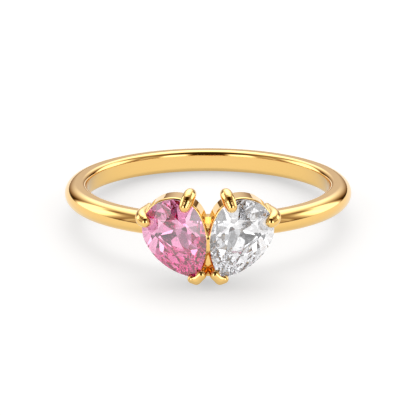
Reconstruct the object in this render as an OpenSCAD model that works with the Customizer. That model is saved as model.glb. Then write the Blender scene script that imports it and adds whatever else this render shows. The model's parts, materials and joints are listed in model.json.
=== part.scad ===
// Toi et moi ring: two pear stones, tips down and together, on a plain round shank.
// Everything is drawn in the ring's own frame, with the finger's axis along Z and the stones
// facing -Y, and is then laid on its side so that it rests on z = 0.

/* [Shank] */
// Inside diameter, for the finger
finger_d = 16.9; // [15:0.1:21]
// Radial thickness
shank_t = 1.55; // [1.4:0.05:2]
// Width along the finger
shank_w = 1.55; // [1.4:0.05:1.8]
// Rounding of the two inner edges
inner_edge_r = 0.35; // [0.2:0.05:0.45]

/* [Stones] */
// Width of a pear across its girdle
pear_w = 4.16; // [3.9:0.02:4.3]
// Length of a pear from its round end to its tip
pear_l = 5.77; // [5.4:0.01:6]
// Lean of a pear's long axis, tip towards the middle
pear_lean = 26; // [22:0.5:28]
// Turn of each stone away from its neighbour
pear_turn = 7.5; // [4:0.5:9]
// Middle of the round end, sideways from the ring's middle
pear_x = 2.4; // [2.35:0.01:2.6]
// Middle of the round end, along the finger
pear_z = 0.58; // [0.3:0.02:0.8]
// Height of the girdle over the outside of the shank
girdle_up = 2.15; // [2:0.05:2.5]
// Thickness of the girdle
girdle_t = 0.1; // [0.06:0.01:0.16]
// Height of the crown, from girdle to table
crown_h = 0.56; // [0.4:0.02:0.7]
// Size of the table against the girdle
table_part = 0.56; // [0.5:0.01:0.62]
// Depth of the pavilion, from girdle to culet
pavilion_h = 1.72; // [1.5:0.02:1.8]

/* [Setting] */
// How far a basket's wall stands out past the girdle
wall_out = 0.05; // [0:0.01:0.1]
// Thickness of a basket's wall
wall_t = 0.34; // [0.25:0.01:0.45]
// Front rim of a basket, behind the girdle's middle
rim_drop = 0.34; // [0.25:0.01:0.5]
// Back edge of a basket, behind the girdle's middle
basket_h = 2.05; // [1.9:0.05:2.3]
// Air between a stone and the metal
seat_gap = 0.03; // [0.02:0.01:0.05]
// Radius of a claw's post
claw_r = 0.39; // [0.32:0.01:0.45]
// Radius of a claw's round end
claw_end_r = 0.34; // [0.28:0.01:0.4]
// Middle of a claw's post, outside the girdle
claw_out = 0.21; // [0.15:0.01:0.3]
// Height of a claw's round end over the girdle
claw_up = 0.38; // [0.32:0.02:0.5]
// Radius of a tip claw's corner, which also carries the ring at rest
vee_r = 0.35; // [0.32:0.01:0.4]
// Middle of a tip claw's corner, outside the tip
vee_out = 0.26; // [0.2:0.01:0.3]
// Radius of a tip claw's two arms
arm_r = 0.27; // [0.22:0.01:0.3]
// Length of a tip claw's arms from the tip to the middle of their ends
arm_l = 0.3; // [0.2:0.05:0.5]
// How far a tip claw laps over the stone
vee_lap = 0.1; // [0.06:0.01:0.15]

/* [Hidden] */
$fn = 96;

gold = "#E0AC4E";
pink = "#E27FAE";
white = "#F2F4F6";

ring_r = finger_d / 2;
outer_r = ring_r + shank_t;
dome_r = shank_w / 2;
dome_at = outer_r - dome_r;
girdle_y = outer_r + girdle_up;
big = 14;

// A pear's outline is a half circle and two arcs that meet at the tip.
end_r = pear_w / 2;
tip_u = pear_l - end_r;
side_r = (tip_u * tip_u + end_r * end_r) / (2 * end_r);
tip_a = 90 - asin(tip_u / side_r);

// Cut of a stone: directions of the main facets round from the tip, place of the culet along
// the axis, and how much steeper or flatter the other facets are than the mains.
mains = [0, 52, 92, 136, 180, 224, 268, 308];
culet_u = 0.4;
crown_half_rise = 1.3;
star_rise = 0.6;
star_in = 0.93;
pavilion_half_rise = 1.035;
culet_cut = 0.05;
half_at = 0.27;

// A stone's two wire claws, as rows of [direction round from the tip, lean inwards, lean
// sideways], and how far their posts reach behind the girdle.
claws = [[128, 0.28, -0.06], [-141, 0.3, 0.23]];
claw_back = 2.2;

// Ends of a tip claw: how far they stand outside the edge, in front and behind the girdle.
arm_out = 0.2;
vee_front = 0.02;
vee_back = -1.7;

// A tip claw's balls, as rows of [radius, along the axis, across it].
vee_u = tip_u + vee_out;
arm_u = tip_u - arm_l * sin(tip_a) + arm_out * cos(tip_a);
arm_v = arm_l * cos(tip_a) + arm_out * sin(tip_a);
vee_balls = [[vee_r, vee_u, 0], [arm_r, arm_u, arm_v], [arm_r, arm_u, -arm_v]];

// The ring rests on the back ends of its two tip claws and on the back of its shank.
foot_y = -girdle_y - vee_u * sin(pear_lean) * sin(pear_turn) - vee_back * cos(pear_turn);
foot_z = pear_z - vee_u * cos(pear_lean);
rest_tilt = asin((vee_r - dome_r) / norm([dome_at - foot_y, foot_z]))
          + atan2(-foot_z, dome_at - foot_y);
rest_up = dome_at * sin(rest_tilt) + dome_r;
rest_back = dome_at * cos(rest_tilt) + dome_r;
rest_front = (foot_y - (vee_front - vee_back) * cos(pear_turn)) * cos(rest_tilt)
           + foot_z * sin(rest_tilt) - vee_r;
rest_y = -(rest_back + rest_front) / 2;

// A basket's wall reaches further back where it meets the shank: between these two depths
// behind the girdle, and this wide.
saddle_front = 1;
saddle_back = 3.3;
saddle_w = 1.2;

// Web between the baskets: its width, its depth behind the girdles and its two ends.
web_w = 0.44;
web_y = 0.14;
web_back = 1.2;
web_z = -1.85;
web_top = 0.3;

// Distance of the outline's tangent that faces direction a, from the round end's middle.
function reach(a) = let (f = abs((a + 540) % 360 - 180))
    f < tip_a ? tip_u * cos(f) : f < 90 ? side_r + (end_r - side_r) * sin(f) : end_r;
// The same from the culet.
function culet_reach(a) = reach(a) - culet_u * cos(a);
function crown_slope(a) = atan(crown_h / ((1 - table_part) * culet_reach(a)));
function pavilion_slope(a) = atan(pavilion_h / culet_reach(a));
function steeper(slope, by) = atan(tan(slope) * by);
// Direction that lies the part f of the way from main facet i to the next one.
function between(i, f) = mains[i] + f * ((i < 7 ? mains[i + 1] : 360) - mains[i]);

// Flat pear, grown on all sides by g.
module pear_2d(g = 0) {
    intersection() {
        translate([0, end_r - side_r]) circle(side_r + g);
        translate([0, side_r - end_r]) circle(side_r + g);
        translate([0, -big / 2]) square(big);
    }
    intersection() {
        circle(end_r + g);
        translate([-big, -big / 2]) square(big);
    }
}

// Space under a plane that falls by slope towards direction a, and that is at the height z
// at the distance d.
module under(a, slope, d, z) {
    rotate([0, slope, a])
        translate([-big / 2, -big / 2, d * sin(slope) + z * cos(slope) - big]) cube(big);
}

// Ring of planes through the girdle's edge, moved out by g: one for each main facet, turned by
// the part shift of the way to the next, and rise times as steep as the main facets.
module crown_ring(shift, rise, g) {
    intersection_for (i = [0:7]) {
        a = between(i, shift);
        under(a, steeper(crown_slope(a), rise), reach(a) + g, girdle_t / 2);
    }
}

module pavilion_ring(shift, rise, g) {
    intersection_for (i = [0:7]) {
        a = between(i, shift);
        under(a, steeper(pavilion_slope(a), rise), reach(a) + g, girdle_t / 2);
    }
}

// Eight flatter planes round the table, between the main facets.
module star_ring() {
    intersection_for (i = [0:7]) {
        a = between(i, 0.5);
        under(a, steeper(crown_slope(a), star_rise),
              star_in * table_part * culet_reach(a) + culet_u * cos(a), girdle_t / 2 + crown_h);
    }
}

// Girdle's walls between a flat table and a flat culet, before any facet is cut.
module blank(g) {
    low = girdle_t / 2 + pavilion_h - culet_cut + g;
    translate([0, 0, -low]) linear_extrude(low + girdle_t / 2 + crown_h + g) pear_2d(g);
}

// Pear brilliant with its tip along +X and its table up.
module pear_stone() {
    intersection() {
        blank(0);
        crown_ring(0, 1, 0);
        crown_ring(half_at, crown_half_rise, 0);
        crown_ring(1 - half_at, crown_half_rise, 0);
        star_ring();
        mirror([0, 0, 1]) {
            intersection() {
                pavilion_ring(0, 1, 0);
                pavilion_ring(half_at, pavilion_half_rise, 0);
                pavilion_ring(1 - half_at, pavilion_half_rise, 0);
            }
        }
    }
}

// What the metal leaves free for a stone: its main facets, moved out by the gap.
module stone_room() {
    intersection() {
        blank(seat_gap);
        crown_ring(0, 1, 2 * seat_gap);
        mirror([0, 0, 1]) pavilion_ring(0, 1, 2 * seat_gap);
    }
}

// Open pear-shaped wall between two depths behind a girdle.
module basket_wall(front, back) {
    translate([0, 0, -back]) linear_extrude(back - front) difference() {
        pear_2d(wall_out);
        pear_2d(wall_out - wall_t);
    }
}

// Wire claw that stands behind the girdle and leans in over the crown.
module claw(row) {
    d = reach(row[0]) + claw_out;
    rotate([0, 0, row[0]]) hull() {
        translate([d, 0, claw_r - claw_back]) sphere(claw_r, $fn = 24);
        translate([d, 0, 0.1]) sphere(claw_r, $fn = 24);
        translate([d - row[1], row[2], claw_up]) sphere(claw_end_r, $fn = 24);
    }
}

// Claw that holds the tip: a thick corner with round edges that laps a little over the stone,
// and that is open inside the basket.
module tip_claw() {
    difference() {
        hull() for (ball = vee_balls, z = [vee_front, vee_back])
            translate([ball[1], ball[2], z]) sphere(ball[0], $fn = 20);
        linear_extrude(big) pear_2d(-vee_lap);
        translate([0, 0, -big]) linear_extrude(big) pear_2d(wall_out - wall_t);
    }
}

// Metal round one stone, in the stone's own frame.
module basket() {
    difference() {
        union() {
            basket_wall(rim_drop, basket_h);
            for (row = claws) claw(row);
            tip_claw();
        }
        stone_room();
    }
}

// Plain shank: a full dome outside, a short flat land inside.
module shank() {
    land = dome_r - inner_edge_r;
    rotate_extrude() {
        translate([dome_at, 0]) circle(dome_r);
        translate([ring_r, -land]) square([dome_at - ring_r, 2 * land]);
        translate([ring_r + inner_edge_r, -dome_r])
            square([dome_at - ring_r - inner_edge_r, shank_w]);
        for (z = [-land, land]) translate([ring_r + inner_edge_r, z]) circle(inner_edge_r);
    }
}

// Lower stretch of a basket's wall, which reaches back into the shank.
module saddle() {
    intersection() {
        stone_place(-1) basket_wall(saddle_front, saddle_back);
        translate([-big / 2, -big, -saddle_w / 2]) cube([big, big, saddle_w]);
    }
}

// Web that joins the two baskets between the stones.
module web() {
    translate([-web_w / 2, -girdle_y + web_y, web_z])
        cube([web_w, web_back - web_y, web_top - web_z]);
}

// Puts a stone's frame in the ring's: side -1 is the left stone, 1 the right one.
module stone_place(side) {
    mirror([side > 0 ? 1 : 0, 0, 0]) translate([-pear_x, -girdle_y, pear_z])
        rotate([0, 0, -pear_turn]) rotate([0, 90 - pear_lean, 0]) rotate([90, 0, 0]) children();
}

// Lays the ring's frame on the surface, with the middle of the whole at the origin.
module at_rest() {
    translate([0, rest_y, rest_up]) rotate([-rest_tilt, 0, 0]) children();
}

module gold_mount() {
    color(gold) at_rest() {
        shank();
        for (side = [-1, 1]) stone_place(side) basket();
        web();
        difference() {
            for (side = [-1, 1]) mirror([side > 0 ? 1 : 0, 0, 0]) saddle();
            cylinder(r = ring_r + shank_t / 2, h = big, center = true);
        }
    }
}

module pink_stone() {
    color(pink) at_rest() stone_place(-1) pear_stone();
}

module white_stone() {
    color(white) at_rest() stone_place(1) pear_stone();
}

gold_mount();
pink_stone();
white_stone();
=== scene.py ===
"""Looks of a toi et moi ring: cast gold, two faceted pear stones, floor, light and camera.

Shapes are worked out in millimetres in the ring's own frame, which has the finger's axis along
Z and the stones facing -Y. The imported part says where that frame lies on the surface.
"""

import json
import logging
import math
from dataclasses import dataclass, field
from enum import Enum
from typing import Callable, Dict, List, Sequence, Tuple

import bmesh  # noqa: E402
import bpy  # noqa: E402
import numpy as np  # noqa: E402
from mathutils import Matrix, Vector  # noqa: E402

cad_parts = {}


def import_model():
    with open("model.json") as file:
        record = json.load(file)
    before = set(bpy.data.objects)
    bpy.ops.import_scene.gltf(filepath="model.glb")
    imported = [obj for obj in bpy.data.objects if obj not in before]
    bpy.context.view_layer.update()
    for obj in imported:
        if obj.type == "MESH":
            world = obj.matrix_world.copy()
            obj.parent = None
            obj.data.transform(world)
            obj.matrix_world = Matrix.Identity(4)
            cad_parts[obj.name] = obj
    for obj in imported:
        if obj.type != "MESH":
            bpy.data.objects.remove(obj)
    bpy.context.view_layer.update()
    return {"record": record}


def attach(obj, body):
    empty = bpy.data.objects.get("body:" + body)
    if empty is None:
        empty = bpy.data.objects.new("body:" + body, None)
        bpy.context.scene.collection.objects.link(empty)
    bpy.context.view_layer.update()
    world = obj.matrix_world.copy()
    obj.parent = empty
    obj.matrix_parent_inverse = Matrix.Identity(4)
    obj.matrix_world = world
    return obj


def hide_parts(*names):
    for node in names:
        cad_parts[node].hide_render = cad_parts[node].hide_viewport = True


LOG = logging.getLogger("toi_et_moi")
MM = 0.001
# How finely a facet's cut is told from the corners beside it.
CUT_MM = 1e-5
# Keeps a divisor above zero, and a place on a curve before the curve's end.
TINY = 1e-9
# How meshing settles points on a surface: rounds, how far aside it looks as a part of the
# pitch, and the least slope, squared, that it divides by.
NET_ROUNDS = 2
NET_LOOK = 0.1
NET_LEAST_SLOPE = 0.2
# Most bounces of a light path in all, and off or through facets.
BOUNCES = 24
FACET_BOUNCES = 20

Distance = Callable[[np.ndarray], np.ndarray]


class Side(Enum):
    """The two halves of the head, as seen from the front."""

    LEFT = -1
    RIGHT = 1


def linear(hex_colour: str) -> Tuple[float, float, float, float]:
    """Turns an sRGB hex colour into linear RGBA.

    Args:
        hex_colour: colour such as "#E0AC4E".

    Returns:
        The linear red, green and blue, and an alpha of 1.
    """
    parts = [int(hex_colour[i : i + 2], 16) / 255 for i in (1, 3, 5)]
    out = [c / 12.92 if c <= 0.04045 else ((c + 0.055) / 1.055) ** 2.4 for c in parts]
    return out[0], out[1], out[2], 1.0


def add_node(
    tree: bpy.types.NodeTree,
    kind: str,
    inputs: Dict[str | int, object] | None = None,
    links: Dict[str | int, Tuple[bpy.types.Node, str | int]] | None = None,
    **settings: object,
) -> bpy.types.Node:
    """Adds one node with its settings and links.

    Args:
        tree: the node tree it goes in.
        kind: Blender's name of the node's type.
        inputs: values of unlinked sockets, by name or number.
        links: for each linked socket, by name or number, the node and output it comes from.
        settings: attributes of the node itself.

    Returns:
        The new node.
    """
    node = tree.nodes.new(kind)
    for name, value in settings.items():
        setattr(node, name, value)
    for name, value in (inputs or {}).items():
        node.inputs[name].default_value = value
    for name, (source, output) in (links or {}).items():
        tree.links.new(source.outputs[output], node.inputs[name])
    return node


def new_material(name: str) -> Tuple[bpy.types.Material, bpy.types.Node]:
    """Makes an empty material.

    Args:
        name: the material's name.

    Returns:
        The material and its output node.
    """
    material = bpy.data.materials.new(name)
    material.use_nodes = True
    material.node_tree.nodes.clear()
    return material, add_node(material.node_tree, "ShaderNodeOutputMaterial")


@dataclass(frozen=True)
class PolishedYellowGold:
    """18 karat yellow gold, cast and then polished on a wheel."""

    # A warm yellow metal: bright where it mirrors light, brown where it mirrors shade.
    colour: str = "#F3CA7E"
    # Painted light: seen through a stone, the gold is painted a pale grey in place of its own
    # colour, standing in for the light inside the stone that washes it out.
    painted_grey_through_stone: str = "#A8A29C"
    roughness: float = 0.02
    # Polishing leaves faint swirls; real ones are about 0.02 mm apart, drawn coarser to show.
    swirl_mm: float = 0.25
    swirl_depth_mm: float = 0.0006
    # Handling leaves patches a little less bright, millimetres across.
    haze_mm: float = 2.5
    haze: float = 0.02
    haze_colour: str = "#F1C779"

    def build(self) -> bpy.types.Material:
        """Builds the material."""
        material, output = new_material("polished_yellow_gold")
        tree = material.node_tree
        place = add_node(tree, "ShaderNodeTexCoord")
        swirls = add_node(
            tree,
            "ShaderNodeTexNoise",
            {"Scale": 1 / (self.swirl_mm * MM), "Detail": 3.0, "Roughness": 0.55},
            {"Vector": (place, "Object")},
        )
        haze = add_node(
            tree,
            "ShaderNodeTexNoise",
            {"Scale": 1 / (self.haze_mm * MM), "Detail": 2.0},
            {"Vector": (place, "Object")},
        )
        rough = add_node(
            tree,
            "ShaderNodeMapRange",
            {"To Min": self.roughness, "To Max": self.roughness + self.haze},
            {"Value": (haze, "Fac")},
        )
        bump = add_node(
            tree,
            "ShaderNodeBump",
            {"Strength": 1.0, "Distance": self.swirl_depth_mm * MM},
            {"Height": (swirls, "Fac")},
        )
        path = add_node(tree, "ShaderNodeLightPath")
        patches = add_node(
            tree,
            "ShaderNodeMix",
            {6: linear(self.colour), 7: linear(self.haze_colour)},
            {0: (haze, "Fac")},
            data_type="RGBA",
        )
        # Painted light: rays that come through a stone see the gold painted pale grey instead of
        # its own colour.
        tone = add_node(
            tree,
            "ShaderNodeMix",
            {7: linear(self.painted_grey_through_stone)},
            {0: (path, "Is Transmission Ray"), 6: (patches, 2)},
            data_type="RGBA",
        )
        shader = add_node(
            tree,
            "ShaderNodeBsdfPrincipled",
            {"Metallic": 1.0},
            {"Base Color": (tone, 2), "Roughness": (rough, "Result"), "Normal": (bump, "Normal")},
        )
        tree.links.new(shader.outputs["BSDF"], output.inputs["Surface"])
        return material


@dataclass(frozen=True)
class CutDiamond:
    """Diamond, cut and polished on a scaife: hard mirrors outside, bright flashes inside."""

    name: str
    # Tint of the light that passes a facet, and its palest zones.
    surface: str
    zone: str
    # Body colour, as what is left of white light after depth_mm inside the stone.
    body: str
    depth_mm: float
    ior: float = 2.42
    # Growth left zones of slightly different colour, about a millimetre wide.
    zone_mm: float = 1.2
    # Polishing lines are finer than a micron; they are drawn coarser and far weaker.
    line_mm: float = 0.2
    line_depth_mm: float = 0.00004

    def build(self) -> bpy.types.Material:
        """Builds the material."""
        material, output = new_material(self.name)
        tree = material.node_tree
        place = add_node(tree, "ShaderNodeTexCoord")
        zones = add_node(
            tree,
            "ShaderNodeTexNoise",
            {"Scale": 1 / (self.zone_mm * MM), "Detail": 1.0},
            {"Vector": (place, "Object")},
        )
        tone = add_node(
            tree,
            "ShaderNodeMix",
            {6: linear(self.surface), 7: linear(self.zone)},
            {0: (zones, "Fac")},
            data_type="RGBA",
        )
        lines = add_node(
            tree,
            "ShaderNodeTexNoise",
            {"Scale": 1 / (self.line_mm * MM), "Detail": 1.0},
            {"Vector": (place, "Object")},
        )
        bump = add_node(
            tree,
            "ShaderNodeBump",
            {"Strength": 1.0, "Distance": self.line_depth_mm * MM},
            {"Height": (lines, "Fac")},
        )
        shader = add_node(
            tree,
            "ShaderNodeBsdfPrincipled",
            {"Roughness": 0.0, "IOR": self.ior, "Transmission Weight": 1.0},
            {"Base Color": (tone, 2), "Normal": (bump, "Normal")},
        )
        tree.links.new(shader.outputs["BSDF"], output.inputs["Surface"])
        kept = linear(self.body)[:3]
        density = -math.log(min(kept)) / (self.depth_mm * MM)
        shade = [1 + math.log(k) / (density * self.depth_mm * MM) for k in kept]
        inside = add_node(
            tree,
            "ShaderNodeVolumeAbsorption",
            {"Color": (*shade, 1.0), "Density": density},
        )
        tree.links.new(inside.outputs["Volume"], output.inputs["Volume"])
        return material


PINK_DIAMOND = CutDiamond("cut_pink_diamond", "#FFFAFD", "#FFF0F8", "#F68EC2", 8.0)
WHITE_DIAMOND = CutDiamond("cut_colourless_diamond", "#FFFFFF", "#F8F9FB", "#F4F5F8", 12.0)


@dataclass(frozen=True)
class LitAcrylic:
    """Opal acrylic table top, lit from below, so that shadows on it stay pale."""

    colour: str = "#D3D3D3"
    glow: str = "#FFFEFD"
    glow_strength: float = 0.55
    roughness: float = 0.6

    def build(self) -> bpy.types.Material:
        """Builds the material."""
        material, output = new_material("opal_acrylic_lit_from_below")
        shader = add_node(
            material.node_tree,
            "ShaderNodeBsdfPrincipled",
            {
                "Base Color": linear(self.colour),
                "Roughness": self.roughness,
                "Specular IOR Level": 0.0,
                "Emission Color": linear(self.glow),
                "Emission Strength": self.glow_strength,
            },
        )
        material.node_tree.links.new(shader.outputs["BSDF"], output.inputs["Surface"])
        return material


@dataclass
class RestPose:
    """Where the ring's own frame lies on the surface, read from the finger hole."""

    centre: Vector
    tilt: float

    @classmethod
    def from_record(cls, record: dict) -> "RestPose":
        """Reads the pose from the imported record's finger hole."""
        hole = next(m for m in record["mounts"] if m["name"] == "finger_hole")
        axis = hole["axis"]
        return cls(Vector(hole["pos_m"]), math.atan2(axis[1], axis[2]))

    def matrix(self) -> Matrix:
        """Gives the matrix from the ring's frame, in metres, to the row's frame."""
        return Matrix.Translation(self.centre) @ Matrix.Rotation(-self.tilt, 4, "X")


@dataclass
class Pear:
    """Outline and place of the pears, in millimetres and degrees."""

    width: float = 4.16
    length: float = 5.77
    # Lean of the long axis, tip towards the middle, and turn away from the other stone.
    lean: float = 26.0
    turn: float = 7.5
    # Middle of the round end: sideways, along the finger, and in front of the finger's axis.
    x: float = 2.4
    z: float = 0.58
    girdle_y: float = 12.15

    @property
    def end_r(self) -> float:
        """Radius of the round end."""
        return self.width / 2

    @property
    def tip_u(self) -> float:
        """Distance of the tip from the round end's middle."""
        return self.length - self.end_r

    @property
    def side_r(self) -> float:
        """Radius of the two sides."""
        return (self.tip_u**2 + self.end_r**2) / (2 * self.end_r)

    @property
    def tip_a(self) -> float:
        """Direction of a side's normal at the tip, in degrees from the long axis."""
        return 90 - math.degrees(math.asin(self.tip_u / self.side_r))

    def reach(self, a: float) -> float:
        """Distance of the outline's tangent that faces direction a.

        Args:
            a: direction round from the tip, in degrees.

        Returns:
            The distance from the round end's middle.
        """
        f = abs((a + 540) % 360 - 180)
        if f < self.tip_a:
            return self.tip_u * math.cos(math.radians(f))
        if f < 90:
            return self.side_r + (self.end_r - self.side_r) * math.sin(math.radians(f))
        return self.end_r

    def outline(self, steps: int) -> List[Tuple[float, float]]:
        """Points round the outline, anticlockwise from the tip.

        Args:
            steps: segments on each of the two sides and on the round end.

        Returns:
            The points as (along the axis, across it).
        """
        side_end = math.asin(self.tip_u / self.side_r)
        off = self.end_r - self.side_r
        side = [
            (self.side_r * math.sin(b), off + self.side_r * math.cos(b))
            for b in (side_end * (1 - i / steps) for i in range(steps))
        ]
        end = [
            (self.end_r * math.cos(b), self.end_r * math.sin(b))
            for b in (math.pi / 2 + math.pi * i / (2 * steps) for i in range(2 * steps))
        ]
        back = [(u, -v) for u, v in reversed(side[1:])]
        return side + end + [(0.0, -self.end_r)] + back

    def distance(self, u: np.ndarray, v: np.ndarray) -> np.ndarray:
        """Signed distance of points from the flat outline, negative inside."""
        v = np.abs(v)
        off = v - (self.end_r - self.side_r)
        side = np.hypot(u, off) - self.side_r
        past_tip = np.arctan2(u, off) > math.asin(self.tip_u / self.side_r)
        side = np.where(past_tip, np.hypot(u - self.tip_u, v), side)
        return np.where(u < 0, np.hypot(u, v) - self.end_r, side)

    def matrix(self, side: Side) -> Matrix:
        """Gives the matrix from a stone's frame to the ring's, in millimetres."""
        g, t = math.radians(self.lean), math.radians(self.turn)
        along = Vector((math.sin(g) * math.cos(t), -math.sin(g) * math.sin(t), -math.cos(g)))
        across = Vector((math.cos(g) * math.cos(t), -math.cos(g) * math.sin(t), math.sin(g)))
        out = Vector((-math.sin(t), -math.cos(t), 0.0))
        place_at = Vector((-self.x, -self.girdle_y, self.z))
        rows = [[along[i], across[i], out[i], place_at[i]] for i in range(3)]
        rows[0] = [-side.value * x for x in rows[0]]
        return Matrix((*rows, (0.0, 0.0, 0.0, 1.0)))


@dataclass(frozen=True)
class Facet:
    """One flat cut: faces direction a, falls by slope, and is at height z at distance d."""

    a: float
    slope: float
    d: float
    z: float

    def plane(self) -> Tuple[Vector, float]:
        """Gives the outward normal and the distance from the stone's origin."""
        a, s = math.radians(self.a), self.slope
        normal = Vector((math.cos(a) * math.sin(s), math.sin(a) * math.sin(s), math.cos(s)))
        return normal, self.d * math.sin(s) + self.z * math.cos(s)


@dataclass
class PearBrilliant:
    """Pear-shaped brilliant cut: a table, crown facets, a girdle and pavilion facets."""

    pear: Pear = field(default_factory=Pear)
    # The uncut blank: segments of each side of its outline, and its top and bottom.
    blank_steps: int = 36
    blank: Tuple[float, float] = (1.5, -2.5)
    girdle_t: float = 0.1
    # Crown: height over the girdle, size of the table against the girdle, and the table's
    # middle along the axis.
    crown_h: float = 0.53
    table_part: float = 0.5
    table_u: float = 0.31
    # Directions of the crown's main facets.
    mains: Tuple[float, ...] = (0, 52, 92, 136, 180, 224, 268, 308)
    # Halves: how far they are turned from one main to the next, and how steep against mains.
    half_at: float = 0.2
    crown_half_rise: float = 1.12
    # Stars: how steep they are against the mains, and how far into the table they cut.
    star_rise: float = 0.58
    star_in: float = 0.93
    # Pavilion: depth under the girdle, and how much of that the culet cuts off.
    pavilion_h: float = 1.75
    culet_cut: float = 0.05
    # Pavilion of the round end: direction and slope of each facet, the same on both sides.
    # A cutter sets whole degrees round the stone and half degrees of slope.
    round_cuts: Tuple[Tuple[float, float], ...] = (
        (100, 42.5),
        (136, 43.5),
        (180, 43),
        (72, 39.5),
        (97, 46),
        (126, 40),
        (150, 41.5),
        (173, 38.5),
    )
    # Fans of narrow facets at the pointed end: direction, and slopes of the second and third
    # tiers. All facets of the first tier have one slope, and each tier has its own depth.
    fan_cuts: Tuple[Tuple[float, float, float], ...] = (
        (12, 39, 33),
        (26, 43, 37),
        (38, 40, 43),
        (45, 50, 41.5),
        (58, 45, 35),
        (62, 47, 36.5),
    )
    fan_first: float = 62
    fan_depths: Tuple[float, float] = (0.22, 0.62)

    def between(self, i: int, part: float) -> float:
        """Direction that lies a part of the way from main facet i to the next."""
        nxt = self.mains[i + 1] if i < len(self.mains) - 1 else 360
        return self.mains[i] + part * (nxt - self.mains[i])

    def inner_reach(self, a: float, from_u: float) -> float:
        """Distance of the tangent that faces direction a, from a point on the axis."""
        return self.pear.reach(a) - from_u * math.cos(math.radians(a))

    def crown_facets(self) -> List[Facet]:
        """Facets above the girdle: mains, two halves beside each, and stars."""
        top = self.girdle_t / 2
        out = []
        for shift, rise in (
            (0, 1.0),
            (self.half_at, self.crown_half_rise),
            (1 - self.half_at, self.crown_half_rise),
        ):
            for i in range(len(self.mains)):
                a = self.between(i, shift)
                tan = self.crown_h / ((1 - self.table_part) * self.inner_reach(a, self.table_u))
                out.append(Facet(a, math.atan(tan * rise), self.pear.reach(a), top))
        for i in range(len(self.mains)):
            a = self.between(i, 0.5)
            tan = self.crown_h / ((1 - self.table_part) * self.inner_reach(a, self.table_u))
            d = self.star_in * self.table_part * self.inner_reach(a, self.table_u)
            d += self.table_u * math.cos(math.radians(a))
            out.append(Facet(a, math.atan(tan * self.star_rise), d, top + self.crown_h))
        out.append(Facet(0, 0, 0, top + self.crown_h))
        return out

    def pavilion_facets(self) -> List[Facet]:
        """Facets below the girdle, as if the stone stood on its table."""
        top = self.girdle_t / 2
        out = [
            Facet(side * a, math.radians(slope), self.pear.reach(a), top)
            for a, slope in self.round_cuts
            for side in ((1,) if a == 180 else (1, -1))
        ]
        first, second = self.fan_depths
        for a, *slopes in self.fan_cuts:
            depth, inset = 0.0, 0.0
            for slope, step in zip((self.fan_first, *slopes), (first, second, 0.0)):
                for side in (1, -1):
                    lean = math.radians(slope)
                    out.append(Facet(side * a, lean, self.pear.reach(a) - inset, top + depth))
                depth += step
                inset += step / math.tan(math.radians(slope))
        out.append(Facet(0, 0, 0, top + self.pavilion_h - self.culet_cut))
        return out

    def planes(self) -> List[Tuple[Vector, float]]:
        """Every facet's outward normal and distance, in the stone's frame."""
        up = [f.plane() for f in self.crown_facets()]
        down = [f.plane() for f in self.pavilion_facets()]
        return up + [(Vector((n.x, n.y, -n.z)), d) for n, d in down]

    def mesh(self, name: str, to_row: Matrix) -> bpy.types.Mesh:
        """Cuts the stone from a pear-shaped blank, plane by plane.

        Args:
            name: the mesh's name.
            to_row: matrix from the stone's frame, in millimetres, to the row's.

        Returns:
            The mesh, with flat facets.
        """
        bm = bmesh.new()
        ring = self.pear.outline(self.blank_steps)
        high, low = self.blank
        top = [bm.verts.new((u, v, high)) for u, v in ring]
        bottom = [bm.verts.new((u, v, low)) for u, v in ring]
        bm.faces.new(top)
        bm.faces.new(list(reversed(bottom)))
        for i in range(len(ring)):
            j = (i + 1) % len(ring)
            bm.faces.new((bottom[i], bottom[j], top[j], top[i]))
        for normal, distance in self.planes():
            cut = bmesh.ops.bisect_plane(
                bm,
                geom=bm.verts[:] + bm.edges[:] + bm.faces[:],
                dist=CUT_MM,
                plane_co=normal * distance,
                plane_no=normal,
                clear_outer=True,
            )
            edges = [g for g in cut["geom_cut"] if isinstance(g, bmesh.types.BMEdge)]
            bmesh.ops.holes_fill(bm, edges=edges, sides=0)
        bmesh.ops.dissolve_degenerate(bm, dist=10 * CUT_MM, edges=bm.edges[:])
        bm.transform(to_row)
        bmesh.ops.recalc_face_normals(bm, faces=bm.faces[:])
        if bm.calc_volume(signed=True) < 0:
            bmesh.ops.reverse_faces(bm, faces=bm.faces[:])
        mesh = bpy.data.meshes.new(name)
        bm.to_mesh(mesh)
        bm.free()
        mesh.shade_flat()
        return mesh


def smooth_min(a: np.ndarray, b: np.ndarray, k: float) -> np.ndarray:
    """Joins two distances with a fillet about k wide."""
    h = np.maximum(k - np.abs(a - b), 0) / k
    return np.minimum(a, b) - h * h * k / 4


def rounded(a: np.ndarray, b: np.ndarray, r: float) -> np.ndarray:
    """Meets two distances in an edge of radius r, inside both."""
    a, b = a + r, b + r
    outer = np.hypot(np.maximum(a, 0), np.maximum(b, 0))
    return outer + np.minimum(np.maximum(a, b), 0) - r


def rod(p: np.ndarray, a: Sequence[float], b: Sequence[float], r: float, s: float) -> np.ndarray:
    """Distance from a rod with round ends.

    Args:
        p: the points, one a row.
        a: one end.
        b: the other end.
        r: radius at a.
        s: radius at b.

    Returns:
        The distance of each point.
    """
    a, v = np.asarray(a), np.asarray(b) - np.asarray(a)
    h = np.clip((p - a) @ v / (v @ v), 0, 1)
    return np.linalg.norm(p - a - h[:, None] * v, axis=1) - (r + (s - r) * h)


def bend(knots: np.ndarray, t: np.ndarray) -> np.ndarray:
    """Points of a smooth curve through evenly timed knots.

    Args:
        knots: the knots, one a row.
        t: places along the curve, from 0 to 1.

    Returns:
        The points, one a row.
    """
    ends = np.concatenate([2 * knots[:1] - knots[1:2], knots, 2 * knots[-1:] - knots[-2:-1]])
    at = np.clip(t * (len(knots) - 1), 0, len(knots) - 1 - TINY)
    i, f = at.astype(int), (at - at.astype(int))[:, None]
    a, b, c, d = ends[i], ends[i + 1], ends[i + 2], ends[i + 3]
    return 0.5 * (2 * b + (c - a) * f + (2 * a - 5 * b + 4 * c - d) * f**2
                  + (3 * b - a - 3 * c + d) * f**3)


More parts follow.
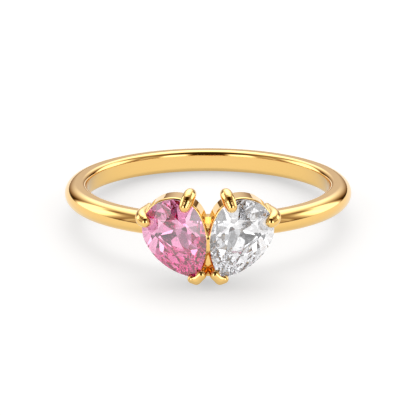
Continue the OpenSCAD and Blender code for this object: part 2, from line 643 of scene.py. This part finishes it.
@dataclass
class Shank:
    """Plain round shank: a full dome outside, a short flat land inside."""

    # Inside radius, thickness outwards, width along the finger, and radius of the inner edges.
    ring_r: float = 8.45
    shank_t: float = 1.55
    shank_w: float = 1.55
    inner_edge_r: float = 0.35
    # Segments round the finger, over the dome and over each inner edge.
    around: int = 384
    dome_steps: int = 22
    edge_steps: int = 6

    def section(self) -> Tuple[np.ndarray, np.ndarray]:
        """Points and normals round the shank's section, as (outwards, along the finger)."""
        r, e = self.shank_w / 2, self.inner_edge_r
        at = self.ring_r + self.shank_t - r
        inner, land = self.ring_r + e, r - e
        spots = []
        for i in range(self.dome_steps + 1):
            a = -math.pi / 2 + math.pi * i / self.dome_steps
            spots.append((at, 0.0, r, a))
        for i in range(self.edge_steps + 1):
            spots.append((inner, land, e, math.pi / 2 + math.pi / 2 * i / self.edge_steps))
        for i in range(self.edge_steps + 1):
            spots.append((inner, -land, e, math.pi + math.pi / 2 * i / self.edge_steps))
        points = [(x + q * math.cos(a), z + q * math.sin(a)) for x, z, q, a in spots]
        normals = [(math.cos(a), math.sin(a)) for _, _, _, a in spots]
        return np.array(points), np.array(normals)

    def surface(self) -> Tuple[np.ndarray, np.ndarray, np.ndarray]:
        """Points, quads and normals of the whole shank."""
        section, lean = self.section()
        a = np.linspace(0, 2 * math.pi, self.around, endpoint=False)
        ring = np.stack([np.cos(a), np.sin(a)], 1)
        n, m = len(a), len(section)
        points = np.zeros((n, m, 3))
        normals = np.zeros((n, m, 3))
        points[..., :2] = ring[:, None] * section[None, :, :1]
        points[..., 2] = section[:, 1]
        normals[..., :2] = ring[:, None] * lean[None, :, :1]
        normals[..., 2] = lean[:, 1]
        i, j = np.meshgrid(np.arange(n), np.arange(m), indexing="ij")
        i2, j2 = (i + 1) % n, (j + 1) % m
        quads = np.stack([i * m + j, i2 * m + j, i2 * m + j2, i * m + j2], -1).reshape(-1, 4)
        return points.reshape(-1, 3), quads, normals.reshape(-1, 3)


@dataclass(frozen=True)
class WireClaw:
    """Where a wire claw stands and how it bends, in degrees and millimetres."""

    # Direction round from the stone's tip.
    at: float
    # How far its end leans inwards and sideways.
    inwards: float
    sideways: float
    # How far its foot is slanted aside, and how much of the path's bow it takes.
    slant: float
    bow: float


@dataclass
class Head:
    """Cast gold round the two stones, as one smooth solid."""

    stone: PearBrilliant = field(default_factory=PearBrilliant)
    shank: Shank = field(default_factory=Shank)
    # Wall round a stone: how far it stands outside the girdle, its thickness, its front and
    # its back behind the girdle, and the radius of its edges.
    wall_out: float = 0.05
    wall_t: float = 0.34
    rim_drop: float = 0.3
    basket_h: float = 2.05
    rim_r: float = 0.165
    # Air round a stone, first where the claws hold it and then inside the walls.
    seat_gap: float = 0.02
    rim_gap: float = 0.07
    # Middle of a wire claw, outside the girdle, before it leans.
    claw_out: float = 0.21
    # A claw's path from its foot: distance outwards from its end, height over the girdle, radius.
    claw_path: Tuple[Tuple[float, float, float], ...] = (
        (0.25, -2.1, 0.3),
        (0.44, -1.5, 0.35),
        (0.62, -0.95, 0.4),
        (0.66, -0.4, 0.44),
        (0.42, 0.07, 0.46),
        (0.0, 0.34, 0.4),
    )
    claw_steps: int = 20
    # A claw's bend is worked out only this near to the straight rod from its foot to its tip.
    claw_core_r: float = 0.5
    claw_near: float = 1.2
    claws: Tuple[WireClaw, ...] = (
        WireClaw(128, 0.38, -0.03, 0.0, 1.0),
        WireClaw(-133, 0.36, 0.0, -0.36, 0.55),
    )
    # Claw at the tip: its corner and the ends of its arms, as (from the tip, across, radius).
    vee: Tuple[Tuple[float, float, float], ...] = (
        (0.08, -0.04, 0.37),
        (-0.05, 0.38, 0.37),
        (-0.05, -0.29, 0.31),
    )
    # Its front and back from the girdle, the radius of its edges, and its lap over the stone.
    vee_front: float = 0.41
    vee_back: float = -2.05
    vee_edge: float = 0.31
    vee_lap: float = 0.12
    # Saddles that join the walls to the shank: front and back behind the girdle, and height.
    saddle_front: float = 1.0
    saddle_back: float = 3.3
    saddle_z: Tuple[float, float] = (-0.6, 0.1)
    # Strips between the baskets: width, front and back behind the girdle, lowest and highest,
    # and how steeply the top flares to a V.
    webs: Tuple[Tuple[float, float, float, float, float, float], ...] = (
        (0.5, 0.25, 0.8, -1.8, 0.8, 1.3),
        (0.5, 0.3, 1.6, -1.8, 0.3, 1.3),
        (0.5, 0.9, 1.9, -2.95, -1.7, 0.0),
    )
    web_edge: float = 0.04
    # Width of the fillets where soldered pieces meet.
    fillet: float = 0.1
    # Width of the fillet between the baskets: below, above, and where it changes.
    valley: Tuple[float, float] = (0.05, 0.28)
    valley_z: Tuple[float, float] = (-2.0, -1.2)
    # Pitch and two corners of the grid that the solid is meshed on.
    grid: float = 0.05
    low: Tuple[float, float, float] = (-5.8, -13.3, -3.6)
    high: Tuple[float, float, float] = (5.8, -8.5, 4.0)

    @property
    def plan(self) -> Pear:
        """Outline of the stones, seen on their tables."""
        return self.stone.pear

    def in_stone(self, p: np.ndarray, side: Side) -> np.ndarray:
        """Turns points of the ring's frame into a stone's frame."""
        back = np.array(self.plan.matrix(side).inverted())
        return p @ back[:3, :3].T + back[:3, 3]

    def room(self, q: np.ndarray) -> np.ndarray:
        """Distance from the space that the metal leaves free for a stone."""
        out = self.plan.distance(q[:, 0], q[:, 1])
        for normal, distance in self.stone.planes():
            out = np.maximum(out, q @ np.array(normal) - distance)
        return out

    def wall(self, q: np.ndarray, flat: np.ndarray, front: float, back: float) -> np.ndarray:
        """Distance from a basket's wall between two depths behind the girdle."""
        skin = np.abs(flat - (self.wall_out - self.wall_t / 2)) - self.wall_t / 2
        depth = np.abs(q[:, 2] + (front + back) / 2) - (back - front) / 2
        return rounded(skin, depth, self.rim_r)

    def claw(self, q: np.ndarray, wire: WireClaw) -> np.ndarray:
        """Distance from a wire claw that bows outwards and bends over the stone.

        Args:
            q: points in the stone's frame.
            wire: the claw's place and bend.

        Returns:
            The distance of each point.
        """
        a = math.radians(wire.at)
        out, along = np.array((math.cos(a), math.sin(a))), np.array((-math.sin(a), math.cos(a)))
        lean = along * wire.sideways - out * wire.inwards
        away = -lean / np.hypot(*lean)
        tip = out * (self.plan.reach(wire.at) + self.claw_out) + lean
        low, high = self.claw_path[0][1], self.claw_path[-1][1]
        knots = [
            (*(tip + away * d * wire.bow + along * wire.slant * (high - w) / (high - low)), w)
            for d, w, _ in self.claw_path
        ]
        sizes = [r for _, _, r in self.claw_path]
        t = np.linspace(0, 1, self.claw_steps + 1)
        spots, radii = bend(np.array(knots), t), bend(np.array(sizes)[:, None], t)[:, 0]
        rough = rod(q, knots[0], knots[-1], self.claw_core_r, self.claw_core_r)
        near = rough < self.claw_near
        best = np.full(int(near.sum()), np.inf)
        for i in range(self.claw_steps):
            best = np.minimum(best, rod(q[near], spots[i], spots[i + 1], radii[i], radii[i + 1]))
        rough[near] = best
        return rough

    def tip_claw(self, q: np.ndarray) -> np.ndarray:
        """Distance from the claw that holds the tip with two short arms."""
        tip_u = self.plan.tip_u
        flat = q * (1, 1, 0)
        (u, v, size), *arms = self.vee
        plan = None
        for end_u, end_v, end_size in arms:
            arm = rod(flat, (tip_u + u, v, 0.0), (tip_u + end_u, end_v, 0.0), size, end_size)
            plan = arm if plan is None else smooth_min(plan, arm, self.fillet)
        front, back = self.vee_front, self.vee_back
        depth = np.abs(q[:, 2] - (front + back) / 2) - (front - back) / 2
        claw = rounded(plan, depth, self.vee_edge)
        over = self.plan.distance(q[:, 0], q[:, 1]) + self.vee_lap
        return np.maximum(claw, -over)

    def basket(self, p: np.ndarray, side: Side) -> np.ndarray:
        """Distance from all the metal round one stone."""
        q = self.in_stone(p, side)
        flat = self.plan.distance(q[:, 0], q[:, 1])
        room = self.room(q)
        metal = np.maximum(self.wall(q, flat, self.rim_drop, self.basket_h), self.rim_gap - room)
        for wire in self.claws:
            metal = smooth_min(metal, self.claw(q, wire), self.fillet)
        metal = smooth_min(metal, self.tip_claw(q), self.fillet)
        deep = self.wall(q, flat, self.saddle_front, self.saddle_back)
        low, high = self.saddle_z
        deep = np.maximum(deep, np.abs(p[:, 2] - (low + high) / 2) - (high - low) / 2)
        core_r = self.shank.ring_r + self.shank.shank_t / 2
        deep = np.maximum(deep, core_r - np.hypot(p[:, 0], p[:, 1]))
        metal = smooth_min(metal, deep, self.fillet / 2)
        return np.maximum(metal, self.seat_gap - room)

    def distance(self, p: np.ndarray) -> np.ndarray:
        """Distance of points of the ring's frame from the whole head."""
        soft = np.interp(p[:, 2], self.valley_z, self.valley)
        both = smooth_min(self.basket(p, Side.LEFT), self.basket(p, Side.RIGHT), soft)
        y = p[:, 1] + self.plan.girdle_y
        for width, front, back, low, high, flare in self.webs:
            top = (p[:, 2] - high - flare * np.abs(p[:, 0])) / math.hypot(1, flare)
            web = rounded(
                np.abs(p[:, 0]) - width / 2,
                np.maximum(
                    np.abs(y - (front + back) / 2) - (back - front) / 2,
                    np.maximum(top, low - p[:, 2]),
                ),
                self.web_edge,
            )
            both = smooth_min(both, web, self.valley[0])
        rooms = [self.room(self.in_stone(p, side)) for side in Side]
        return np.maximum(both, self.seat_gap - np.minimum(*rooms))


def sample(
    distance: Distance, low: Sequence[float], high: Sequence[float], step: float
) -> np.ndarray:
    """Samples a distance at the corners of a grid's cells.

    Args:
        distance: gives the signed distance of points, one a row.
        low: lowest corner of the grid.
        high: highest corner of the grid.
        step: the grid's pitch.

    Returns:
        The distances, by place in the grid.
    """
    xs, ys, zs = [np.arange(a, b + step, step) for a, b in zip(low, high)]
    value = np.empty((len(xs), len(ys), len(zs)), np.float32)
    y, z = np.meshgrid(ys, zs, indexing="ij")
    for i, x in enumerate(xs):
        p = np.stack([np.full(y.size, x), y.ravel(), z.ravel()], 1)
        value[i] = distance(p).reshape(y.shape)
    return value


def cell_points(value: np.ndarray) -> Tuple[np.ndarray, np.ndarray]:
    """Puts one point in each cell that the zero surface crosses.

    Args:
        value: distances at the corners of the grid's cells.

    Returns:
        The points, in pitches from the grid's lowest corner, and the number of each cell's
        point, which is -1 where there is none.
    """
    inside = value < 0
    cells = tuple(n - 1 for n in value.shape)
    total, count = np.zeros((*cells, 3)), np.zeros(cells)
    corners = [(i, j, k) for i in (0, 1) for j in (0, 1) for k in (0, 1)]
    window = {c: tuple(slice(c[n], c[n] + cells[n]) for n in range(3)) for c in corners}
    for a in corners:
        for n in range(3):
            if a[n]:
                continue
            b = tuple(1 if m == n else a[m] for m in range(3))
            fa, fb = value[window[a]], value[window[b]]
            cross = inside[window[a]] != inside[window[b]]
            t = np.where(cross, fa / np.where(cross, fa - fb, 1), 0)
            for m in range(3):
                total[..., m] += np.where(cross, a[m] + (t if m == n else 0), 0)
            count += cross
    used = count > 0
    number = np.full(cells, -1)
    number[used] = np.arange(used.sum())
    return np.argwhere(used) + total[used] / count[used][:, None], number


def cell_quads(inside: np.ndarray, number: np.ndarray) -> np.ndarray:
    """Joins the points of the four cells round each of the grid's edges that is crossed.

    Args:
        inside: whether each corner of the grid's cells is inside the surface.
        number: the number of each cell's point.

    Returns:
        Quads of point numbers, which face outwards.
    """
    cells = number.shape
    quads = []
    for n in range(3):
        u, v = (n + 1) % 3, (n + 2) % 3
        first, second = [slice(0, None)] * 3, [slice(0, None)] * 3
        first[n], second[n] = slice(0, -1), slice(1, None)
        start, end = inside[tuple(first)], inside[tuple(second)]
        for flip in (False, True):
            at = np.argwhere((~start & end) if flip else (start & ~end))
            at = at[(at[:, u] > 0) & (at[:, v] > 0) & (at[:, u] < cells[u]) & (at[:, v] < cells[v])]
            ring = []
            for du, dv in ((-1, -1), (0, -1), (0, 0), (-1, 0)):
                cell = at.copy()
                cell[:, u] += du
                cell[:, v] += dv
                ring.append(number[cell[:, 0], cell[:, 1], cell[:, 2]])
            quad = np.stack(ring, 1)
            quads.append(quad[:, ::-1] if flip else quad)
    return np.concatenate(quads)


def gradient(distance: Distance, points: np.ndarray, nudge: float) -> np.ndarray:
    """Gives the direction in which a distance grows, and how fast.

    Args:
        distance: gives the signed distance of points, one a row.
        points: where to look.
        nudge: how far to look to each side.

    Returns:
        The gradient at each point.
    """
    parts = []
    for n in range(3):
        off = np.zeros(3)
        off[n] = nudge
        parts.append((distance(points + off) - distance(points - off)) / (2 * nudge))
    return np.stack(parts, 1)


def surface_net(
    distance: Distance, low: Sequence[float], high: Sequence[float], step: float
) -> Tuple[np.ndarray, np.ndarray, np.ndarray]:
    """Meshes the zero surface of a distance with one point in each cell that it crosses.

    Args:
        distance: gives the signed distance of points, one a row.
        low: lowest corner of the grid.
        high: highest corner of the grid.
        step: the grid's pitch.

    Returns:
        Points, quads of point numbers, and the points' normals.
    """
    value = sample(distance, low, high, step)
    points, number = cell_points(value)
    points = points * step + np.array(low)
    nudge = step * NET_LOOK
    for _ in range(NET_ROUNDS):
        g = gradient(distance, points, nudge)
        length = np.maximum((g * g).sum(1), NET_LEAST_SLOPE)
        points = points - (distance(points) / length)[:, None] * g
    g = gradient(distance, points, nudge)
    normals = g / np.maximum(np.linalg.norm(g, axis=1), TINY)[:, None]
    return points, cell_quads(value < 0, number), normals


@dataclass
class GoldMount:
    """Shank and head: one cast and soldered piece of gold."""

    head: Head = field(default_factory=Head)

    def build(self, pose: RestPose, finish: PolishedYellowGold) -> bpy.types.Object:
        """Builds the mount where it rests.

        Args:
            pose: where the ring's frame lies.
            finish: the metal's finish.

        Returns:
            The object, which replaces the CAD node.
        """
        parts = [
            self.head.shank.surface(),
            surface_net(self.head.distance, self.head.low, self.head.high, self.head.grid),
        ]
        turn = np.array(pose.matrix())[:3, :3]
        start, points, quads, normals = 0, [], [], []
        for p, q, n in parts:
            points.append(p * MM @ turn.T + np.array(pose.centre))
            normals.append(n @ turn.T)
            quads.append(q + start)
            start += len(p)
        mesh = bpy.data.meshes.new("gold_mount_cast")
        mesh.from_pydata(np.concatenate(points), [], np.concatenate(quads).tolist())
        mesh.validate()
        mesh.shade_smooth()
        mesh.normals_split_custom_set_from_vertices(np.concatenate(normals))
        return place(mesh, finish.build(), "gold", "gold_mount")


@dataclass
class Stone:
    """One cut stone of the pair."""

    node: str
    slot: str
    side: Side
    finish: CutDiamond
    cut: PearBrilliant = field(default_factory=PearBrilliant)

    def build(self, pose: RestPose) -> bpy.types.Object:
        """Builds the stone where it rests, in place of its CAD node."""
        to_row = pose.matrix() @ Matrix.Scale(MM, 4) @ self.cut.pear.matrix(self.side)
        mesh = self.cut.mesh(f"{self.node}_cut", to_row)
        return place(mesh, self.finish.build(), self.slot, self.node)


def place(
    mesh: bpy.types.Mesh, material: bpy.types.Material, slot: str, node: str
) -> bpy.types.Object:
    """Puts a finished mesh in the scene in place of a CAD node.

    Args:
        mesh: the mesh, in the row's frame.
        material: its material.
        slot: not used.
        node: the CAD node that it stands for.

    Returns:
        The new object.
    """
    piece = bpy.data.objects.new(mesh.name, mesh)
    bpy.context.scene.collection.objects.link(piece)
    mesh.materials.append(material)
    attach(piece, "root")
    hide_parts(node)
    LOG.info("%s: %d faces, replaces %s", piece.name, len(mesh.polygons), node)
    return piece


@dataclass(frozen=True)
class RoomNodes:
    """Nodes that give the direction in which the room is seen."""

    way: bpy.types.Node
    around: bpy.types.Node
    up: bpy.types.Node

    @classmethod
    def build(cls, tree: bpy.types.NodeTree) -> "RoomNodes":
        """Adds the nodes: azimuth from the camera's side, and elevation, both in degrees.

        Args:
            tree: the world's nodes.

        Returns:
            The nodes.
        """
        way = add_node(tree, "ShaderNodeTexCoord")
        split = add_node(tree, "ShaderNodeSeparateXYZ", links={"Vector": (way, "Generated")})
        sideways = add_node(
            tree, "ShaderNodeMath", links={0: (split, "X")}, operation="ABSOLUTE"
        )
        towards = add_node(
            tree, "ShaderNodeMath", {1: -1.0}, {0: (split, "Y")}, operation="MULTIPLY"
        )
        turn = add_node(
            tree,
            "ShaderNodeMath",
            links={0: (sideways, "Value"), 1: (towards, "Value")},
            operation="ARCTAN2",
        )
        rise = add_node(tree, "ShaderNodeMath", links={0: (split, "Z")}, operation="ARCSINE")
        around, up = [
            add_node(tree, "ShaderNodeMath", links={0: (angle, "Value")}, operation="DEGREES")
            for angle in (turn, rise)
        ]
        return cls(way, around, up)


@dataclass(frozen=True)
class Card:
    """One soft-edged light panel of the studio's room.

    Directions are in degrees: azimuth from the camera's side, the same to the left and to the
    right, and elevation above the surface. A card fades over a softness at each of its edges.
    """

    azimuth: Tuple[float, float]
    elevation: Tuple[float, float]
    light: float
    soft_azimuth: Tuple[float, float]
    soft_elevation: Tuple[float, float]

    def add(self, tree: bpy.types.NodeTree, room: RoomNodes) -> bpy.types.Node:
        """Adds the card's brightness to a node tree.

        Args:
            tree: the world's nodes.
            room: the nodes that give directions.

        Returns:
            The node whose value is the card's light.
        """
        value = None
        for source, edges, softs in (
            (room.around, self.azimuth, self.soft_azimuth),
            (room.up, self.elevation, self.soft_elevation),
        ):
            for edge, soft, sign in zip(edges, softs, (1, -1)):
                fade = add_node(
                    tree,
                    "ShaderNodeMapRange",
                    {"From Min": edge - sign * soft / 2, "From Max": edge + sign * soft / 2},
                    {"Value": (source, "Value")},
                    interpolation_type="SMOOTHSTEP",
                )
                constant = {1: self.light} if value is None else {}
                links = {0: (fade, "Result")}
                if value is not None:
                    links[1] = (value, "Value")
                value = add_node(tree, "ShaderNodeMath", constant, links, operation="MULTIPLY")
        return value


@dataclass(frozen=True)
class Softbox:
    """Large round lamp behind the ring, brightest in its middle and fading to its edge."""

    elevation: float
    radius: float
    light: float

    def add(self, tree: bpy.types.NodeTree, room: RoomNodes) -> bpy.types.Node:
        """Adds the lamp's brightness to a node tree.

        Args:
            tree: the world's nodes.
            room: the nodes that give directions.

        Returns:
            The node whose value is the lamp's light.
        """
        e = math.radians(self.elevation)
        facing = add_node(
            tree,
            "ShaderNodeVectorMath",
            {1: (0.0, math.cos(e), math.sin(e))},
            {0: (room.way, "Generated")},
            operation="DOT_PRODUCT",
        )
        angle = add_node(
            tree, "ShaderNodeMath", links={0: (facing, "Value")}, operation="ARCCOSINE"
        )
        return add_node(
            tree,
            "ShaderNodeMapRange",
            {"From Min": math.radians(self.radius), "From Max": 0.0, "To Max": self.light},
            {"Value": (angle, "Value")},
        )


@dataclass
class Studio:
    """White surface and the room of soft panels that lights the ring and that it mirrors."""

    floor_side: float = 3.0
    # Shade between the lamps: neutral where light leaves a stone, and warm elsewhere.
    walls: str = "#2F200C"
    walls_by_stones: str = "#3C3C3E"
    # Metal mirrors lamps that are cool in the middle and amber at the edge; others are white.
    lamp: str = "#E8F3FF"
    lamp_edge: str = "#B98C56"
    lamp_plain: str = "#D5D5D5"
    lamp_full: float = 1.25
    strength: float = 1.5
    # The round lamp, two cards overhead, and four low ones at either side.
    lamps: Tuple[Card | Softbox, ...] = (
        Softbox(40, 47, 2.35),
        Card((82, 200), (52, 100), 0.85, (76, 10), (32, 10)),
        Card((-20, 60), (86, 100), 0.45, (10, 30), (14, 10)),
        Card((90, 133), (-1, 38), 1.55, (34, 14), (14, 18)),
        Card((44, 71), (4, 44), 0.6, (12, 8), (20, 30)),
        Card((68, 108), (6, 49), 0.38, (8, 12), (22, 10)),
        Card((20, 45), (-10, 35), 2.1, (12, 12), (24, 40)),
    )

    def build(self) -> None:
        """Builds the surface and the room round it."""
        mesh = bpy.data.meshes.new("white_surface")
        s = self.floor_side / 2
        mesh.from_pydata([(-s, -s, 0), (s, -s, 0), (s, s, 0), (-s, s, 0)], [], [(0, 1, 2, 3)])
        mesh.materials.append(LitAcrylic().build())
        floor = bpy.data.objects.new("white_surface", mesh)
        bpy.context.scene.collection.objects.link(floor)
        self.build_room()

    def lamp_colour(
        self, tree: bpy.types.NodeTree, path: bpy.types.Node, total: bpy.types.Node
    ) -> bpy.types.Node:
        """Adds the lamps' colour: by their brightness where gold mirrors them, or else plain.

        Args:
            tree: the world's nodes.
            path: the node that tells the kinds of light path apart.
            total: the node whose value is the light of all the lamps.

        Returns:
            The node whose colour is the lamps'.
        """
        # A facet mirrors more sharply than polished gold, which tells the two apart.
        in_gold = add_node(
            tree,
            "ShaderNodeMath",
            links={0: (path, "Is Glossy Ray"), 1: (path, "Is Singular Ray")},
            operation="SUBTRACT",
            use_clamp=True,
        )
        bright = add_node(
            tree, "ShaderNodeMapRange", {"From Max": self.lamp_full}, {"Value": (total, 0)}
        )
        gold_lamp = add_node(
            tree,
            "ShaderNodeMix",
            {6: linear(self.lamp_edge), 7: linear(self.lamp)},
            {0: (bright, "Result")},
            data_type="RGBA",
        )
        return add_node(
            tree,
            "ShaderNodeMix",
            {6: linear(self.lamp_plain)},
            {0: (in_gold, 0), 7: (gold_lamp, 2)},
            data_type="RGBA",
        )

    def build_room(self) -> None:
        """Builds the room's light from its panels, by direction."""
        world = bpy.data.worlds.new("studio_room")
        bpy.context.scene.world = world
        world.use_nodes = True
        tree = world.node_tree
        tree.nodes.clear()
        room = RoomNodes.build(tree)
        total, *others = [lamp.add(tree, room) for lamp in self.lamps]
        for value in others:
            total = add_node(tree, "ShaderNodeMath", links={0: (total, 0), 1: (value, 0)})
        # A jewel's metal and its stones are lit apart, so each path sees its own lamps.
        path = add_node(tree, "ShaderNodeLightPath")
        shade = add_node(
            tree,
            "ShaderNodeMix",
            {6: linear(self.walls), 7: linear(self.walls_by_stones)},
            {0: (path, "Is Transmission Ray")},
            data_type="RGBA",
        )
        colour = self.lamp_colour(tree, path, total)
        whole = add_node(
            tree,
            "ShaderNodeVectorMath",
            links={0: (colour, 2), 1: (total, 0), 2: (shade, 2)},
            operation="MULTIPLY_ADD",
        )
        light = add_node(
            tree,
            "ShaderNodeBackground",
            {"Strength": self.strength},
            {"Color": (whole, "Vector")},
        )
        add_node(tree, "ShaderNodeOutputWorld", links={"Surface": (light, "Background")})


@dataclass
class PhotoCamera:
    """Long lens that sees the ring at the photo's angle."""

    image_px: int = 416
    sensor: float = 36.0
    # Focal length in pixels, distance and height over the ring's own plane, all fitted.
    focal_px: float = 5708.0
    distance_mm: float = 398.0
    over_ring: float = 14.94
    # Where the ring's middle is in the picture.
    ring_px: Tuple[float, float] = (208.1, 192.0)
    # Nearest and farthest that it sees, in metres.
    clip: Tuple[float, float] = (0.01, 10.0)

    def build(self, pose: RestPose) -> bpy.types.Object:
        """Builds the camera and makes it the scene's.

        Args:
            pose: where the ring's frame lies.

        Returns:
            The camera.
        """
        data = bpy.data.cameras.new("photo_camera")
        data.sensor_width, data.sensor_fit = self.sensor, "HORIZONTAL"
        data.lens = self.focal_px / self.image_px * self.sensor
        data.clip_start, data.clip_end = self.clip
        camera = bpy.data.objects.new("photo_camera", data)
        e = math.radians(self.over_ring)
        away = pose.matrix().to_3x3() @ Vector((0, -math.cos(e), math.sin(e)))
        turn = away.to_track_quat("Z", "Y")
        per_px = self.distance_mm * MM / self.focal_px
        middle = self.image_px / 2
        right, up = turn @ Vector((1, 0, 0)), turn @ Vector((0, 1, 0))
        shift = right * (middle - self.ring_px[0]) + up * (self.ring_px[1] - middle)
        camera.location = pose.centre + away * self.distance_mm * MM + shift * per_px
        camera.rotation_mode = "QUATERNION"
        camera.rotation_quaternion = turn
        bpy.context.scene.collection.objects.link(camera)
        bpy.context.scene.camera = camera
        return camera


def main() -> None:
    """Builds the ring, the studio and the camera."""
    logging.basicConfig(level=logging.INFO)
    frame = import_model()
    pose = RestPose.from_record(frame["record"])
    PhotoCamera().build(pose)
    GoldMount().build(pose, PolishedYellowGold())
    Stone("pink_stone", "pink_stone", Side.LEFT, PINK_DIAMOND).build(pose)
    Stone("white_stone", "white_stone", Side.RIGHT, WHITE_DIAMOND).build(pose)
    Studio().build()
    bpy.context.scene.view_settings.view_transform = "Standard"
    # Light is thrown to and fro many times inside a cut stone before it leaves it.
    paths = bpy.context.scene.cycles
    paths.max_bounces = BOUNCES
    paths.glossy_bounces = paths.transmission_bounces = FACET_BOUNCES
    paths.caustics_reflective = paths.caustics_refractive = False


if __name__ == "__main__":
    main()
